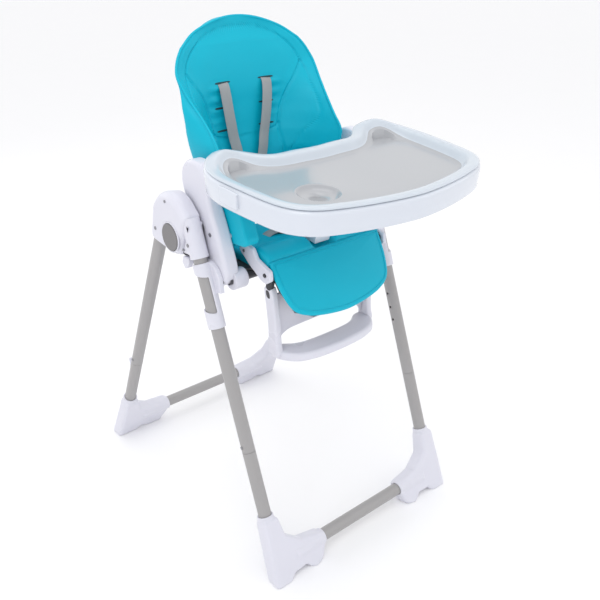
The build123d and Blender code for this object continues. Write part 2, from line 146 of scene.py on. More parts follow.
def material(name, colour, rough, grain=900.0, cloud=9.0, bump=0.0, shade=0.06, metallic=0.0, coat=0.0,
             coat_rough=0.12, specular=0.5, subsurface=0.0):
    """A surface with the shared grain. colour is in screen levels, rough is its lowest and highest."""
    made = bpy.data.materials.new(name)
    made.use_nodes = True
    nodes, links = made.node_tree.nodes, made.node_tree.links
    shader = nodes["Principled BSDF"]
    group = nodes.new("ShaderNodeGroup")
    group.node_tree = GRAIN
    group.inputs["Grain scale"].default_value = grain
    group.inputs["Cloud scale"].default_value = cloud
    group.inputs["Rough low"].default_value = rough[0]
    group.inputs["Rough high"].default_value = rough[1]
    group.inputs["Shade depth"].default_value = shade
    group.inputs["Tint"].default_value = srgb(*colour)
    links.new(group.outputs["Colour"], shader.inputs["Base Color"])
    links.new(group.outputs["Roughness"], shader.inputs["Roughness"])
    if bump:
        relief = nodes.new("ShaderNodeBump")
        relief.inputs["Strength"].default_value = bump
        relief.inputs["Distance"].default_value = 0.0004
        links.new(group.outputs["Height"], relief.inputs["Height"])
        links.new(relief.outputs["Normal"], shader.inputs["Normal"])
    shader.inputs["Metallic"].default_value = metallic
    shader.inputs["Coat Weight"].default_value = coat
    shader.inputs["Coat Roughness"].default_value = coat_rough
    shader.inputs["Specular IOR Level"].default_value = specular
    if subsurface:
        shader.inputs["Subsurface Weight"].default_value = subsurface
        shader.inputs["Subsurface Scale"].default_value = 0.01
        shader.inputs["Subsurface Radius"].default_value = (1.0, 1.0, 1.0)
    return made


MATERIALS = {
    "white_plastic": material("white_plastic", (217, 217, 227), (0.26, 0.34), bump=0.04, shade=0.02,
                              subsurface=0.15),
    "leg_paint": material("leg_paint", (163, 161, 161), (0.30, 0.38), bump=0.08, shade=0.03, metallic=0.25),
    "dark_plastic": material("dark_plastic", (52, 52, 56), (0.45, 0.6), bump=0.3),
    "button_grey": material("button_grey", (122, 120, 121), (0.4, 0.5), bump=0.15),
    "tray_white": material("tray_white", (212, 217, 226), (0.12, 0.18), shade=0.015, coat=0.5,
                           coat_rough=0.06, subsurface=0.15),
    "tray_clear": material("tray_clear", (202, 211, 221), (0.13, 0.2), shade=0.015, coat=0.4,
                           coat_rough=0.07, subsurface=0.2),
    "leatherette": material("leatherette", (0, 181, 206), (0.42, 0.50), grain=1100.0, cloud=14.0, bump=0.28,
                            shade=0.05, specular=0.25),
    "webbing": material("webbing", (166, 168, 169), (0.75, 0.85), grain=1600.0, bump=0.7, shade=0.2),
    "screw_steel": material("screw_steel", (150, 150, 154), (0.3, 0.42), metallic=0.9, bump=0.05),
    "steel_tube": material("steel_tube", (92, 92, 96), (0.3, 0.4), metallic=0.5, bump=0.05),
    "floor": material("floor", (252, 252, 253), (0.55, 0.65), cloud=3.0, shade=0.01),
    # A darker copy of the insert's plastic for its dish floor and cup well: painted shade.
    "tray_floor_shade": material("tray_floor_shade", (172, 174, 178), (0.13, 0.2), shade=0.02, coat=0.4,
                           coat_rough=0.07),
    # The leatherette's teal darkened, painted shade for the inside of the strap slots.
    "slot_painted_shade": material("slot_painted_shade", (26, 60, 68), (0.6, 0.7)),
}

for node_name, node in frame["nodes"].items():
    finish = MATERIALS[slot_of_node[node_name]]
    if node.data.materials:
        for index in range(len(node.data.materials)):
            node.data.materials[index] = finish
    else:
        node.data.materials.append(finish)


# ------------------------------------------------------------------ modelling helpers
def deselect():
    bpy.ops.object.select_all(action="DESELECT")


def choose(piece):
    deselect()
    piece.select_set(True)
    bpy.context.view_layer.objects.active = piece


def apply_modifier(piece, kind, **values):
    choose(piece)
    modifier = piece.modifiers.new(kind.lower(), kind)
    for key, value in values.items():
        setattr(modifier, key, value)
    bpy.ops.object.modifier_apply(modifier=modifier.name)


def smooth(piece, degrees=35):
    choose(piece)
    bpy.ops.object.shade_smooth_by_angle(angle=math.radians(degrees))


def install(piece, body, slot, *nodes, finish=None):
    piece.data.materials.clear()
    piece.data.materials.append(MATERIALS[finish or slot])
    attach(piece, body)
    if nodes:
        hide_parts(*nodes)
    return piece


def catmull(points, count, closed):
    """Even points on the smooth curve through the given ones."""
    given = np.array(points, float)
    n = len(given)
    last = n if closed else n - 1
    samples = []
    for i in range(last):
        if closed:
            a, b, c, d = (given[(i + k) % n] for k in (-1, 0, 1, 2))
        else:
            b, c = given[i], given[i + 1]
            a = given[i - 1] if i else 2 * b - c
            d = given[i + 2] if i + 2 < n else 2 * c - b
        for t in np.linspace(0, 1, 12, endpoint=False):
            samples.append(0.5 * (2 * b + (c - a) * t + (2 * a - 5 * b + 4 * c - d) * t * t
                                  + (3 * b - a - 3 * c + d) * t ** 3))
    samples.append(given[0] if closed else given[-1])
    samples = np.array(samples)
    run = np.concatenate([[0], np.cumsum(np.linalg.norm(np.diff(samples, axis=0), axis=1))])
    marks = np.linspace(0, run[-1], count, endpoint=not closed)
    return np.stack([np.interp(marks, run, samples[:, k]) for k in range(samples.shape[1])], axis=1)


def outline(points, count=120):
    """A closed smooth loop that runs anticlockwise."""
    loop = catmull(points, count, True)
    area = np.sum(loop[:, 0] * np.roll(loop[:, 1], -1) - np.roll(loop[:, 0], -1) * loop[:, 1])
    return loop if area > 0 else loop[::-1]


def mirrored(points):
    """A half outline with x >= 0, from the rear middle to the front middle, made whole."""
    return list(points) + [(-x, y) for x, y in reversed(points) if x > 1e-6]


def inset(loop, distance):
    """The loop moved inwards by a distance, square to its own run."""
    run = np.roll(loop, -1, axis=0) - np.roll(loop, 1, axis=0)
    run /= np.linalg.norm(run, axis=1)[:, None]
    normal = np.stack([run[:, 1], -run[:, 0]], axis=1)
    return loop - normal * distance


def skin(name, rings, cap=True):
    """Closed rings of points joined in order into one surface. cap closes its two ends."""
    rings = np.array(rings, float)
    rows, cols = rings.shape[:2]
    deselect()
    bpy.ops.mesh.primitive_grid_add(x_subdivisions=cols, y_subdivisions=rows - 1, size=1)
    piece = bpy.context.active_object
    piece.name = name
    piece.data.name = name
    grid = np.concatenate([rings, rings[:, :1]], axis=1)
    piece.data.vertices.foreach_set("co", grid.reshape(-1))
    bpy.ops.object.mode_set(mode="EDIT")
    bpy.ops.mesh.select_all(action="SELECT")
    bpy.ops.mesh.remove_doubles(threshold=0.000002)
    if cap:
        bpy.ops.mesh.fill_holes(sides=0)
    bpy.ops.mesh.select_all(action="SELECT")
    bpy.ops.mesh.normals_make_consistent(inside=False)
    bpy.ops.object.mode_set(mode="OBJECT")
    return piece


def slab(name, loop, low, high, edge_low, edge_high, place, steps=6):
    """A plate with rounded rims. place turns (a, b, height) into a point."""
    rings = []
    for k in range(steps + 1):
        turn = math.radians(90 * k / steps)
        ring = inset(loop, edge_low * (1 - math.sin(turn)))
        height = low + edge_low * (1 - math.cos(turn))
        rings.append([place(a, b, height) for a, b in ring])
    for k in range(steps + 1):
        turn = math.radians(90 * k / steps)
        ring = inset(loop, edge_high * (1 - math.cos(turn)))
        height = high - edge_high * (1 - math.sin(turn))
        rings.append([place(a, b, height) for a, b in ring])
    return skin(name, rings)


def shrink(loop, distance, middle):
    """The loop drawn towards a middle point, for corners too tight to inset."""
    away = loop - np.array(middle)
    return np.array(middle) + away * (1 - distance / np.linalg.norm(away, axis=1))[:, None]


def dome(name, loop, low, high, depth, reach, middle, place):
    """A plate with a rim rounded over depth and reach on its outer side."""
    steps = 10
    rings = [[place(a, b, low) for a, b in shrink(loop, 0.003, middle)]]
    for k in range(steps + 1):
        turn = math.radians(90 * k / steps)
        ring = shrink(loop, reach * (1 - math.cos(turn)), middle)
        rings.append([place(a, b, high - depth * (1 - math.sin(turn))) for a, b in ring])
    for share in (0.25, 0.5, 0.75):
        ring = shrink(loop, reach, middle)
        ring = ring + (np.array(middle) - ring) * share
        rings.append([place(a, b, high + 0.0004 * share) for a, b in ring])
    return skin(name, rings)


def along_x(side):
    """Puts a side view's (y, z) at a distance x to one side."""
    return lambda y, z, x: (side * x, y + SHIFT, z)


def cushion(name, loop, low, high, edge, crown, place, centre):
    """A stuffed plate: round rims, a crowned top and a flat underside."""
    steps, rings_in = 8, 14
    rings = []
    for k in range(steps + 1):
        turn = math.radians(90 * k / steps)
        ring = inset(loop, edge * 0.6 * (1 - math.sin(turn)))
        rings.append([place(a, b, low + edge * 0.6 * (1 - math.cos(turn))) for a, b in ring])
    for k in range(steps + 1):
        turn = math.radians(90 * k / steps)
        ring = inset(loop, edge * (1 - math.cos(turn)))
        rings.append([place(a, b, high - edge * (1 - math.sin(turn))) for a, b in ring])
    top = inset(loop, edge)
    middle = np.array(centre)
    for k in range(1, rings_in + 1):
        share = k / rings_in * 0.985
        ring = top + (middle - top) * share
        lift = crown * (1 - (1 - share) ** 2.2)
        rings.append([place(a, b, high + lift) for a, b in ring])
    return skin(name, rings)


def sweep(name, path, section, up=(0, -1, 0)):
    """A closed section carried along a path of 3-D points."""
    path = np.array(path, float)
    run = np.gradient(path, axis=0)
    run /= np.linalg.norm(run, axis=1)[:, None]
    lean = np.array(up, float)
    rings = []
    for point, ahead in zip(path, run):
        side = np.cross(ahead, lean)
        side /= np.linalg.norm(side)
        over = np.cross(side, ahead)
        rings.append([point + side * a + over * b for a, b in section])
    return skin(name, rings)


def circle(radius, count=12):
    turns = np.linspace(0, 2 * math.pi, count, endpoint=False)
    return [(radius * math.cos(t), radius * math.sin(t)) for t in turns]


def band(width, thick):
    """Section of flat webbing, its edges round."""
    a, b = width / 2, thick / 2
    return [(-a, -b * 0.6), (-a + b, -b), (0, -b), (a - b, -b), (a, -b * 0.6), (a, b * 0.6),
            (a - b, b), (0, b), (-a + b, b), (-a, b * 0.6)]


def moulded(node_name, voxel, rounds):
    """A CAD node's shape with the soft edges of a moulding."""
    source = frame["nodes"][node_name]
    piece = source.copy()
    piece.data = source.data.copy()
    piece.name = node_name + "_skin"
    piece.data.name = piece.name
    bpy.context.collection.objects.link(piece)
    piece.parent = None
    piece.matrix_world = source.matrix_world.copy()
    choose(piece)
    bpy.ops.object.transform_apply(location=True, rotation=True, scale=True)
    bpy.ops.object.mode_set(mode="EDIT")
    bpy.ops.mesh.select_all(action="SELECT")
    bpy.ops.mesh.remove_doubles(threshold=0.00001)
    bpy.ops.object.mode_set(mode="OBJECT")
    apply_modifier(piece, "REMESH", mode="VOXEL", voxel_size=voxel)
    apply_modifier(piece, "SMOOTH", factor=0.5, iterations=rounds)
    choose(piece)
    bpy.ops.object.shade_smooth()
    return install(piece, body_of_node[node_name], slot_of_node[node_name], node_name)


# ------------------------------------------------------------------ mouldings of the frame and seat
for side, _ in SIDES:
    moulded(f"front_foot_{side}", 0.0016, 14)
    moulded(f"rear_foot_{side}", 0.0016, 14)
    moulded(f"slider_{side}", 0.0012, 6)
    moulded(f"legrest_bracket_{side}", 0.0011, 6)
    moulded(f"height_lever_{side}", 0.001, 5)
moulded("crotch_post", 0.0012, 8)

hub_points = [(0.058, 0.672), (0.054, 0.700), (0.049, 0.725), (0.041, 0.746), (0.018, 0.769), (-0.016, 0.779),
              (-0.046, 0.772), (-0.070, 0.753), (-0.081, 0.740), (-0.077, 0.721), (-0.066, 0.693),
              (-0.0555, 0.664), (-0.046, 0.655), (-0.028, 0.651), (-0.005, 0.6525), (0.028, 0.658),
              (0.050, 0.663)]
socket_points = [(-0.0570, 0.6622), (-0.0640, 0.682), (-0.0700, 0.697), (-0.0770, 0.716), (-0.0830, 0.731),
                 (-0.0870, 0.716), (-0.0930, 0.697), (-0.0985, 0.680), (-0.1020, 0.665), (-0.0950, 0.6618),
                 (-0.0750, 0.6618)]
panel_points = [(-0.0085, 0.800), (-0.014, 0.824), (-0.032, 0.840), (-0.053, 0.8435), (-0.078, 0.838),
                (-0.097, 0.819), (-0.102, 0.795), (-0.104, 0.768), (-0.116, 0.740), (-0.128, 0.713),
                (-0.138, 0.685), (-0.148, 0.658), (-0.152, 0.634), (-0.142, 0.613), (-0.122, 0.605),
                (-0.098, 0.616), (-0.078, 0.638), (-0.060, 0.668), (-0.045, 0.700), (-0.032, 0.735),
                (-0.0215, 0.760), (-0.012, 0.780)]
button_y, button_z, button_rim_r = -0.028, 0.691, 0.0302
boss_y, boss_z, boss_r = -0.140, 0.618, 0.021
leg_x = 0.240


def front_leg_y(z):
    """The y of the front leg's middle line at a height."""
    return -0.1353 + 0.366 * (z - 0.552)


for side, sign in SIDES:
    cover = dome(f"hub_dome_{side}", outline(hub_points, 160), 0.2245, 0.2630, 0.020, 0.0165, (-0.020, 0.705),
                 along_x(sign))
    smooth(cover, 60)
    install(cover, "rear_frame", "white_plastic", f"hub_cover_{side}")
    grip_path = [(sign * leg_x, front_leg_y(z) + SHIFT, z)
                 for z in (0.6618, 0.6624, 0.664, 0.680, 0.700, 0.720, 0.7365)]
    grip = sweep(f"socket_shell_{side}", grip_path, circle(0.0186, 56))
    smooth(grip, 60)
    install(grip, "front_frame", "white_plastic", f"front_socket_{side}")
    socket = slab(f"socket_web_{side}", outline(socket_points, 120), 0.2225, 0.2570, 0.004, 0.007,
                  along_x(sign), 6)
    smooth(socket, 60)
    install(socket, "front_frame", "white_plastic")
    ring = sweep(f"button_rim_{side}",
                 [(sign * 0.2635, button_y + SHIFT + button_rim_r * math.cos(t),
                   button_z + button_rim_r * math.sin(t))
                  for t in np.linspace(0, 2 * math.pi, 73)], circle(0.0017, 10), up=(1, 0, 0))
    smooth(ring, 60)
    install(ring, "rear_frame", "white_plastic")
    panel = slab(f"side_moulding_{side}", outline(panel_points, 180), 0.1868, 0.2192, 0.006, 0.009,
                 along_x(sign), 7)
    smooth(panel, 50)
    install(panel, "seat", "white_plastic", f"side_panel_{side}")
    boss_loop = np.array([boss_y, boss_z]) + np.array(circle(boss_r, 64))
    boss = slab(f"boss_moulding_{side}", boss_loop, 0.168, 0.200, 0.005, 0.001, along_x(sign), 6)
    smooth(boss, 50)
    install(boss, "seat", "white_plastic")


# ------------------------------------------------------------------ footrest
def flared_x(side):
    """The arms stand wider apart at their tops."""
    def place(y, z, x):
        share = min(1.0, max(0.0, (z - 0.470) / 0.130))
        return (side * (x + 0.013 * share * share), y + SHIFT, z)
    return place


step_points = mirrored([(0, -0.2005), (0.040, -0.1995), (0.066, -0.1965), (0.082, -0.191), (0.093, -0.184),
                        (0.104, -0.1765), (0.122, -0.1745), (0.1335, -0.180), (0.1350, -0.194),
                        (0.1310, -0.207), (0.122, -0.2215), (0.105, -0.238), (0.082, -0.2475),
                        (0.050, -0.2535), (0, -0.2560)])
step_rings = outline(step_points, 220)
step = slab("foot_step", step_rings, 0.4365, 0.4575, 0.007, 0.0085, lambda x, y, z: (x, y + SHIFT, z), 7)
smooth(step, 60)
install(step, "footrest", "white_plastic", "footrest")
arm_points = [(-0.2045, 0.600), (-0.192, 0.606), (-0.180, 0.600), (-0.1755, 0.560), (-0.1745, 0.510),
              (-0.174, 0.470), (-0.1755, 0.449), (-0.187, 0.441), (-0.203, 0.4415), (-0.208, 0.452),
              (-0.2035, 0.470), (-0.2015, 0.500), (-0.2025, 0.550)]
web_points = [(0, 0.4905), (0.060, 0.4900), (0.090, 0.4880), (0.108, 0.4800), (0.118, 0.466), (0.126, 0.460),
              (0.130, 0.480), (0.133, 0.530), (0.137, 0.572), (0.100, 0.580), (0.050, 0.581), (0, 0.581)]
web_loop = outline([(x, z) for x, z in web_points] + [(-x, z) for x, z in reversed(web_points) if x > 0], 200)
web = slab("foot_web", web_loop, 0.180, 0.185, 0.0015, 0.002, lambda x, z, y: (x, SHIFT - y, z), 3)
smooth(web, 60)
install(web, "footrest", "white_plastic")
for side, sign in SIDES:
    arm = slab(f"foot_arm_{side}", outline(arm_points, 140), 0.1215, 0.1375, 0.004, 0.005, flared_x(sign), 6)
    smooth(arm, 60)
    install(arm, "footrest", "white_plastic")
    slot_points = [(-0.1955, 0.581), (-0.189, 0.581), (-0.1865, 0.586), (-0.1875, 0.596), (-0.191, 0.599),
                   (-0.1965, 0.598), (-0.198, 0.590)]
    key = slab(f"foot_slot_{side}", outline(slot_points, 40), 0.1370, 0.1379, 0.0002, 0.0003,
               flared_x(sign), 2)
    install(key, "footrest", "dark_plastic")


# ------------------------------------------------------------------ tray
dish_depth = 0.0135


def plane_z(y):
    """Height of the tray's rim plane, tilted down to the front."""
    return 0.8535 + (y + 0.150) * 0.0717


def tray_z(x, y, drop):
    """Height of the rim with its two round rear lobes."""
    hump = 0.019 * math.exp(-((abs(x) - 0.194) ** 2 + (y + 0.140) ** 2) / 0.00157)
    return plane_z(y) + hump + drop


def floor_z(y, drop):
    """Height of the insert's flat floor, or of a level that far above it."""
    return plane_z(y) - dish_depth + drop


def on_tray(x, y, drop):
    return (x, y + SHIFT, tray_z(x, y, drop))


rim_points = mirrored([(0, -0.156), (0.050, -0.152), (0.092, -0.1515), (0.115, -0.142), (0.134, -0.124),
                       (0.149, -0.111), (0.168, -0.105), (0.198, -0.107), (0.224, -0.116), (0.242, -0.132),
                       (0.2545, -0.155), (0.2612, -0.186), (0.2625, -0.212), (0.2602, -0.2555),
                       (0.2565, -0.297), (0.2515, -0.336), (0.243, -0.364), (0.226, -0.389), (0.200, -0.408),
                       (0.165, -0.421), (0.120, -0.433), (0.060, -0.444), (0, -0.449)])
rim = outline(rim_points, 260)


def rim_inset(distance):
    """The rim moved inwards, evened out where its corners are too tight for that."""
    ring = inset(rim, distance)
    rounds = int(distance * 400) if distance > 0.012 else 0
    for _ in range(rounds):
        ring = (np.roll(ring, 1, axis=0) + 2 * ring + np.roll(ring, -1, axis=0)) / 4
    return ring


def tray_rings(profile):
    """Rings around the tray, each by its distance in from the rim and its drop from the rim's height."""
    return [[on_tray(x, y, drop) for x, y in rim_inset(distance)] for distance, drop in profile]


def flat_ring(distance, drop):
    """A ring that lies on the floor's plane, or a level above it."""
    return [(x, y + SHIFT, floor_z(y, drop)) for x, y in rim_inset(distance)]


arc = [math.radians(t) for t in (0, 20, 40, 60, 75, 90)]
skirt = [(0.0048, -0.030), (0.0048, -0.0445), (0.0036, -0.0456), (0.0020, -0.0450), (0.0012, -0.043),
         (0.0002, -0.030), (-0.0010, -0.016), (-0.0012, -0.009)]
skirt += [(-0.0012 + 0.0068 * (1 - math.cos(t)), -0.0084 + 0.0068 * math.sin(t)) for t in arc[1:]]
skirt += [(0.010, -0.0024), (0.016, -0.0040), (0.022, -0.0085), (0.026, -0.0140), (0.030, -0.0200)]
base_rings = tray_rings(skirt)
base_rings += [flat_ring(distance, drop) for distance, drop in ((0.034, -0.0115), (0.038, -0.0125))]
base = skin("tray_shell", base_rings)
smooth(base, 50)
install(base, "tray", "tray_white", "tray_base")

dish = [(0.0085, -0.0010), (0.0030, -0.0008), (0.0012, 0.0002), (0.0010, 0.0018), (0.0022, 0.0032),
        (0.0045, 0.0040), (0.0080, 0.0043), (0.0130, 0.0042), (0.0180, 0.0036), (0.0215, 0.0022),
        (0.0245, -0.0005), (0.0275, -0.0045), (0.0305, -0.0085), (0.0335, -0.0112), (0.0375, -0.0128),
        (0.0425, -dish_depth)]
dish_rings = tray_rings(dish) + [flat_ring(distance, 0) for distance in (0.0460, 0.0500)]
cup_x, cup_y, cup_points = -0.129, -0.318, 96
shade_ring = 13  # the ring of the dish from which the insert's own plastic is drawn darker, painted shade on its floor
insert = skin("insert_dish", dish_rings, cap=False)
wall_faces = len(insert.data.polygons)
ring_size = len(dish_rings[0])
well_rings = []
for radius, drop in ((0.046, 0.0), (0.043, 0.0003), (0.0415, 0.0006), (0.040, 0.0002), (0.0385, -0.0014),
                     (0.036, -0.004), (0.033, -0.0062), (0.030, -0.0072), (0.027, -0.0075),
                     (0.0005, -0.0075)):
    ring = np.array([cup_x, cup_y]) + np.array(circle(radius, cup_points))
    well_rings.append([(x, y + SHIFT, floor_z(y, drop)) for x, y in ring])
well = skin("insert_well", well_rings, cap=False)
deselect()
well.select_set(True)
insert.select_set(True)
bpy.context.view_layer.objects.active = insert
bpy.ops.object.join()
bpy.ops.object.mode_set(mode="EDIT")
bpy.ops.mesh.select_mode(type="EDGE")
bpy.ops.mesh.select_all(action="DESELECT")
bpy.ops.object.mode_set(mode="OBJECT")
mesh = insert.data
uses = {}
for face in mesh.polygons:
    for pair in face.edge_keys:
        uses[pair] = uses.get(pair, 0) + 1
# The floor fills the space between the dish's inner edge and the cup well's outer edge.
for edge in mesh.edges:
    level = [mesh.vertices[v].co.z - floor_z(mesh.vertices[v].co.y - SHIFT, 0) for v in edge.vertices]
    edge.select = uses[tuple(sorted(edge.vertices))] == 1 and max(abs(value) for value in level) < 0.0001
bpy.ops.object.mode_set(mode="EDIT")
bpy.ops.mesh.fill(use_beauty=True)
bpy.ops.mesh.select_all(action="SELECT")
bpy.ops.mesh.normals_make_consistent(inside=False)
bpy.ops.object.mode_set(mode="OBJECT")
if sum(face.normal.z * face.area for face in insert.data.polygons) < 0:
    bpy.ops.object.mode_set(mode="EDIT")
    bpy.ops.mesh.select_all(action="SELECT")
    bpy.ops.mesh.flip_normals()
    bpy.ops.object.mode_set(mode="OBJECT")
single = len(insert.data.polygons)
smooth(insert, 60)
apply_modifier(insert, "SOLIDIFY", thickness=0.0016, offset=-1.0)
install(insert, "tray_insert", "tray_clear", "tray_insert")
# The floor, the foot of the dish wall and the cup well take the darker copy of the insert's plastic: painted
# shade.
insert.data.materials.append(MATERIALS["tray_floor_shade"])
for face in insert.data.polygons:
    order = face.index % single
    if face.index < 2 * single and (order >= wall_faces or order // ring_size >= shade_ring):
        face.material_index = 1

for side, sign in SIDES:
    latch_points = [(-0.262, 0.817), (-0.262, 0.834), (-0.259, 0.840), (-0.216, 0.843), (-0.212, 0.838),
                    (-0.212, 0.820), (-0.216, 0.814), (-0.258, 0.811)]
    latch = slab(f"latch_key_{side}", outline(latch_points, 60), 0.2560, 0.2662, 0.001, 0.002,
                 along_x(sign), 4)
    smooth(latch, 50)
    install(latch, "tray_latch_" + side, "tray_white", f"tray_latch_{side}")


# ------------------------------------------------------------------ backrest
# Height, front edge's x and y, middle's y, how flat the middle is, and the widest x and its y.
back_rows = np.array([
    (0.676, 0.128, 0.052, 0.058, 2.2, 0.131, 0.062), (0.720, 0.138, 0.024, 0.066, 2.6, 0.142, 0.040),
    (0.765, 0.145, 0.012, 0.070, 3.0, 0.150, 0.030), (0.785, 0.146, -0.006, 0.071, 3.2, 0.153, 0.026),
    (0.802, 0.150, -0.040, 0.072, 3.4, 0.160, 0.022), (0.820, 0.156, -0.058, 0.074, 3.5, 0.168, 0.020),
    (0.8365, 0.159, -0.063, 0.076, 3.5, 0.173, 0.020), (0.854, 0.160, -0.058, 0.077, 3.8, 0.177, 0.020),
    (0.874, 0.159, -0.042, 0.077, 4.1, 0.1805, 0.020), (0.891, 0.1605, -0.027, 0.077, 4.2, 0.182, 0.020),
    (0.9085, 0.163, -0.011, 0.077, 3.9, 0.1838, 0.021), (0.926, 0.1665, 0.006, 0.076, 3.5, 0.1835, 0.026),
    (0.943, 0.170, 0.022, 0.076, 3.1, 0.180, 0.034), (0.962, 0.173, 0.0375, 0.077, 3.0, 0.1755, 0.0455),
    (0.980, 0.174, 0.051, 0.079, 2.8, 0.1725, 0.058), (0.992, 0.1705, 0.058, 0.081, 2.6, 0.1678, 0.064),
    (1.007, 0.1633, 0.0645, 0.084, 2.4, 0.1605, 0.0705), (1.020, 0.154, 0.070, 0.087, 2.2, 0.151, 0.076),
    (1.030, 0.144, 0.075, 0.089, 2.0, 0.141, 0.081), (1.040, 0.130, 0.081, 0.092, 2.0, 0.127, 0.087),
    (1.0485, 0.117, 0.086, 0.095, 2.0, 0.114, 0.092), (1.0575, 0.098, 0.090, 0.097, 2.0, 0.095, 0.096),
    (1.067, 0.073, 0.093, 0.099, 2.0, 0.070, 0.099), (1.0735, 0.045, 0.096, 0.100, 2.0, 0.042, 0.102),
    (1.0765, 0.022, 0.099, 0.101, 2.0, 0.020, 0.104), (1.0775, 0.006, 0.101, 0.102, 2.0, 0.005, 0.105)])
wing_seam = np.array([(0.147, 0.978), (0.136, 0.962), (0.125, 0.9465), (0.113, 0.930), (0.104, 0.912),
                      (0.096, 0.892), (0.090, 0.872), (0.086, 0.853), (0.0855, 0.8365), (0.088, 0.815),
                      (0.092, 0.790), (0.094, 0.760)])
inner_seam = np.array([(0.104, 0.790), (0.118, 0.825), (0.132, 0.846), (0.143, 0.863), (0.149, 0.881),
                       (0.152, 0.905), (0.153, 0.930), (0.1525, 0.955), (0.149, 0.975), (0.143, 0.991),
                       (0.134, 1.006), (0.122, 1.019), (0.107, 1.031), (0.091, 1.041), (0.072, 1.049),
                       (0.049, 1.056), (0.025, 1.0595), (0.0, 1.0605)])
lumbar_seam = np.array([(0.0, 0.834), (0.030, 0.833), (0.060, 0.837), (0.078, 0.842), (0.087, 0.850)])


def seam_depth(xs, zs, seam, reach):
    """1 on a seam, falling to 0 at the reach, for points given by |x| and z."""
    line = catmull(seam, 80, False)
    gap = np.full(xs.shape, 1.0)
    for a, b in line:
        gap = np.minimum(gap, np.hypot(xs - a, zs - b))
    return np.exp(-(gap / reach) ** 2)


rows = catmull(back_rows, 220, False)
across = np.linspace(-1, 1, 251)
front_points = np.zeros((len(rows), len(across), 3))
for j, (z, half, edge_y, mid_y, power, out_x, out_y) in enumerate(rows):
    ease = np.sign(across) * (1 - (1 - np.abs(across)) ** 1.15)
    front_points[j, :, 0] = half * ease
    front_points[j, :, 1] = mid_y + (edge_y - mid_y) * np.abs(ease) ** power
    front_points[j, :, 2] = z
xs, zs = np.abs(front_points[:, :, 0]), front_points[:, :, 2]
groove = 0.0036 * seam_depth(xs, zs, wing_seam, 0.0026) + 0.0030 * seam_depth(xs, zs, inner_seam, 0.0024)
groove += 0.0028 * seam_depth(xs, zs, lumbar_seam, 0.0026)
edge_gap = 1 - np.abs(across)[None, :]
plump = 0.0050 * (1 - seam_depth(xs, zs, wing_seam, 0.03)) * (1 - seam_depth(xs, zs, inner_seam, 0.022))
plump *= np.clip(edge_gap * 9, 0, 1)
folds = 0.0016 * np.exp(-((xs - 0.072) / 0.018) ** 2) * np.sin(zs * 2 * math.pi / 0.024)
folds *= np.clip((zs - 0.86) / 0.02, 0, 1) * np.clip((0.965 - zs) / 0.02, 0, 1)
front_points[:, :, 1] += groove - plump - folds
rings = []
for j in range(len(rows)):
    front = front_points[j]
    z, half, edge_y, mid_y, power, out_x, out_y = rows[j]
    deep = 0.024 * min(1.0, math.sqrt(max(half, 0.0) / 0.05))
    turn_x, turn_y = max(out_x - 0.026, half * 0.8), out_y + deep * 0.85
    corner = [(front[-1, 0], front[-1, 1]), (front[-1, 0] + 0.0028, front[-1, 1] + 0.003),
              ((half + out_x) / 2 + 0.0035, (edge_y + out_y) / 2), (out_x, out_y),
              ((turn_x + out_x) / 2 + 0.0015, (turn_y + out_y) / 2), (turn_x, turn_y)]
    corner = catmull(corner, 24, False)[1:-1]
    wing = np.column_stack([corner, np.full(len(corner), z)])
    back_x = turn_x * np.linspace(1, -1, 81)
    back_yy = mid_y + deep + (turn_y - mid_y - deep) * np.abs(back_x / turn_x) ** 3
    back = np.column_stack([back_x, back_yy, np.full(81, z)])
    rings.append(np.concatenate([front, wing, back, wing[::-1] * np.array([-1, 1, 1])]))
rings = np.array(rings)
rings[:, :, 1] += SHIFT
pad = skin("back_cushion", rings)
smooth(pad, 60)
install(pad, "backrest", "leatherette", "backrest_pad")

edge_path = [(row[1] + 0.0008, row[2] + SHIFT, row[0]) for row in rows[::4] if row[0] > 0.80]
whole = edge_path + [(0, rows[-1][2] + SHIFT, 1.0780)] + [(-x, y, z) for x, y, z in reversed(edge_path)]
piping = sweep("back_piping", catmull(whole, 320, False), circle(0.0027, 10), up=(0, -1, 0.001))
smooth(piping, 60)
install(piping, "backrest", "leatherette")

shell_rings = []
for z, half, edge_y, mid_y, power, out_x, out_y in catmull(back_rows[:-2], 70, False):
    t = np.linspace(-1, 1, 61)
    wide = max(out_x - 0.045, half * 0.70)
    near = np.stack([wide * t, mid_y + 0.0247 + (out_y + 0.0215 - mid_y - 0.0247) * np.abs(t) ** 3 + SHIFT,
                     np.full(61, z - 0.004)], axis=1)
    far = near[::-1].copy()
    far[:, 1] += 0.007
    shell_rings.append(np.concatenate([near, far]))
shell = skin("back_shell", shell_rings)
smooth(shell, 50)
install(shell, "backrest", "white_plastic", "backrest_shell")
hinge_points = [(0.044, 0.655), (0.066, 0.6545), (0.088, 0.655), (0.0905, 0.6645), (0.088, 0.674),
                (0.066, 0.6745), (0.044, 0.674), (0.0415, 0.6645)]
hinge = slab("back_hinge", outline(hinge_points, 80), -0.172, 0.172, 0.003, 0.003, along_x(1), 4)
smooth(hinge, 50)
install(hinge, "backrest", "white_plastic")


def back_y(x, z):
    """The y of the cushion's front at a place."""
    j = int(np.argmin(np.abs(rows[:, 0] - z)))
    i = int(np.argmin(np.abs(front_points[j, :, 0] - x)))
    return front_points[j, i, 1]


